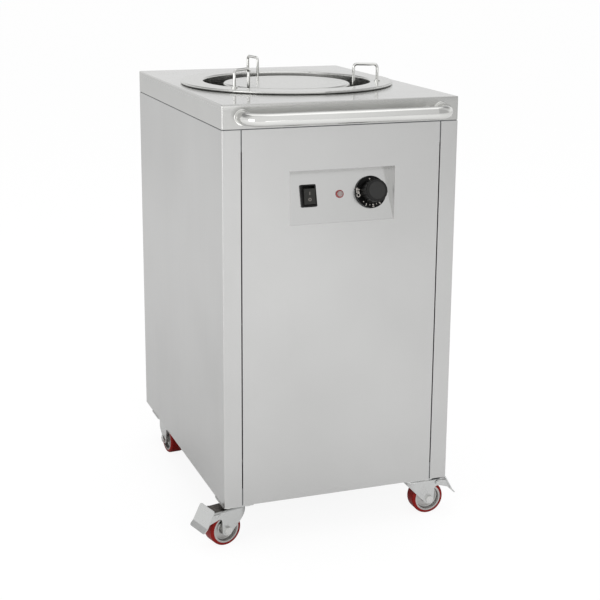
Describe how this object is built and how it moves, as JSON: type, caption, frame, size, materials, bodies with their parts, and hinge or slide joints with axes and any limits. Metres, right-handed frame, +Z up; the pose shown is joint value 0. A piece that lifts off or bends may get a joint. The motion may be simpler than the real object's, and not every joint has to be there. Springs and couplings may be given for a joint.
{
  "type": "heated plate dispenser",
  "caption": "Mobile heated plate dispenser: stainless cabinet on swivel casters with a round well, a spring-lifted plate platform, wire guides, push handle and sloping controls.",
  "frame": {"origin": "on the floor, on the vertical axis of the plate well, which is the middle of the cabinet in plan", "axes": "+Z up, -Y out of the front with the controls and the push handle, +X to the right for someone who faces that front"},
  "size_m": [0.4736, 0.6147, 0.767],
  "materials": {
    "stainless_sheet": "satin stainless sheet with a fine vertical grain",
    "galvanised_sheet": "dull zinc-coated sheet",
    "polished_steel": "polished stainless",
    "lift_steel": "plain bright steel",
    "fastener_steel": "zinc-plated fasteners",
    "black_plastic": "fine-grained black moulding",
    "lamp_bezel_red": "glossy red moulding",
    "lamp_lens": "pale red lens",
    "copper": "copper capillary and bulb",
    "heater_sheath": "dull grey sheath",
    "cable": "heat-resistant sleeve",
    "caster_zinc": "bright zinc-plated pressing",
    "wheel_core": "turned core",
    "wheel_tread": "dark red cast tread"
  },
  "bodies": {
    "cabinet": {"base_pan": "galvanised_sheet", "cable_gland": "black_plastic", "caster_bolts": "fastener_steel", "caster_plates": "caster_zinc", "control_fascia": "stainless_sheet", "front_panel": "stainless_sheet", "front_panel_bolts": "fastener_steel", "guide_nuts": "fastener_steel", "handle_bar": "polished_steel", "handle_bolts": "fastener_steel", "handle_rosettes": "polished_steel", "heat_reflector": "galvanised_sheet", "heater_clips": "galvanised_sheet", "heater_element": "heater_sheath", "lamp_body": "lamp_bezel_red", "lamp_lens": "lamp_lens", "left_side_panel": "stainless_sheet", "lift_springs": "lift_steel", "panel_screws": "fastener_steel", "plate_guide_1": "polished_steel", "plate_guide_2": "polished_steel", "plate_guide_3": "polished_steel", "rear_panel": "stainless_sheet", "right_side_panel": "stainless_sheet", "spring_hangers": "galvanised_sheet", "switch_housing": "black_plastic", "terminal_block": "black_plastic", "thermostat_body": "black_plastic", "thermostat_bulb": "copper", "top_cap": "stainless_sheet", "top_frame": "galvanised_sheet", "well_ring": "polished_steel", "well_tube": "polished_steel", "wiring": "cable"},
    "lift": {"platform": "polished_steel", "carrier_column": "lift_steel", "lift_arms": "lift_steel", "arm_bolts": "fastener_steel"},
    "knob": {"control_knob": "black_plastic", "thermostat_spindle": "fastener_steel"},
    "rocker": {"switch_rocker": "black_plastic"},
    "swivel_front_left": {"caster_fork_front_left": "caster_zinc", "caster_axle_front_left": "fastener_steel"},
    "wheel_front_left": {"wheel_core_front_left": "wheel_core", "wheel_tread_front_left": "wheel_tread"},
    "pedal_front_left": {"brake_pedal_front_left": "caster_zinc"},
    "swivel_front_right": {"caster_fork_front_right": "caster_zinc", "caster_axle_front_right": "fastener_steel"},
    "wheel_front_right": {"wheel_core_front_right": "wheel_core", "wheel_tread_front_right": "wheel_tread"},
    "pedal_front_right": {"brake_pedal_front_right": "caster_zinc"},
    "swivel_rear_left": {"caster_fork_rear_left": "caster_zinc", "caster_axle_rear_left": "fastener_steel"},
    "wheel_rear_left": {"wheel_core_rear_left": "wheel_core", "wheel_tread_rear_left": "wheel_tread"},
    "swivel_rear_right": {"caster_fork_rear_right": "caster_zinc", "caster_axle_rear_right": "fastener_steel"},
    "wheel_rear_right": {"wheel_core_rear_right": "wheel_core", "wheel_tread_rear_right": "wheel_tread"}
  },
  "joints": [
    {"name": "platform_slide", "type": "slide", "parent": "cabinet", "child": "lift", "axis": [0, 0, 1], "range_m": [-0.34, 0], "stiffness_N_per_m": 840, "springref_m": 0.06, "deforming": ["lift_springs"]},
    {"name": "knob_turn", "type": "hinge", "parent": "cabinet", "child": "knob", "pos_m": [0.0535, -0.2563, 0.5795], "axis": [0, -0.9611, 0.2762], "range_deg": [-270, 0]},
    {"name": "rocker_tilt", "type": "hinge", "parent": "cabinet", "child": "rocker", "pos_m": [-0.0535, -0.25486, 0.57909], "axis": [-1, 0, 0], "range_deg": [0, 20]},
    {"name": "caster_swivel_front_left", "type": "hinge", "parent": "cabinet", "child": "swivel_front_left", "pos_m": [-0.174, -0.241, 0.064], "axis": [0, 0, 1], "continuous": true},
    {"name": "wheel_roll_front_left", "type": "hinge", "parent": "swivel_front_left", "child": "wheel_front_left", "pos_m": [-0.19729, -0.24681, 0.0285], "axis": [0.2419, -0.9703, 0], "continuous": true},
    {"name": "brake_press_front_left", "type": "hinge", "parent": "swivel_front_left", "child": "pedal_front_left", "pos_m": [-0.21281, -0.25068, 0.0575], "axis": [0.2419, -0.9703, 0], "range_deg": [0, 8]},
    {"name": "caster_swivel_front_right", "type": "hinge", "parent": "cabinet", "child": "swivel_front_right", "pos_m": [0.151, -0.241, 0.064], "axis": [0, 0, 1], "continuous": true},
    {"name": "wheel_roll_front_right", "type": "hinge", "parent": "swivel_front_right", "child": "wheel_front_right", "pos_m": [0.175, -0.241, 0.0285], "axis": [0, 1, 0], "continuous": true},
    {"name": "brake_press_front_right", "type": "hinge", "parent": "swivel_front_right", "child": "pedal_front_right", "pos_m": [0.191, -0.241, 0.0575], "axis": [0, 1, 0], "range_deg": [0, 8]},
    {"name": "caster_swivel_rear_left", "type": "hinge", "parent": "cabinet", "child": "swivel_rear_left", "pos_m": [-0.174, 0.194, 0.064], "axis": [0, 0, 1], "continuous": true},
    {"name": "wheel_roll_rear_left", "type": "hinge", "parent": "swivel_rear_left", "child": "wheel_rear_left", "pos_m": [-0.17191, 0.17009, 0.0285], "axis": [0.9962, 0.0872, 0], "continuous": true},
    {"name": "caster_swivel_rear_right", "type": "hinge", "parent": "cabinet", "child": "swivel_rear_right", "pos_m": [0.151, 0.194, 0.064], "axis": [0, 0, 1], "continuous": true},
    {"name": "wheel_roll_rear_right", "type": "hinge", "parent": "swivel_rear_right", "child": "wheel_rear_right", "pos_m": [0.163, 0.17322, 0.0285], "axis": [0.866, 0.5, 0], "continuous": true}
  ]
}
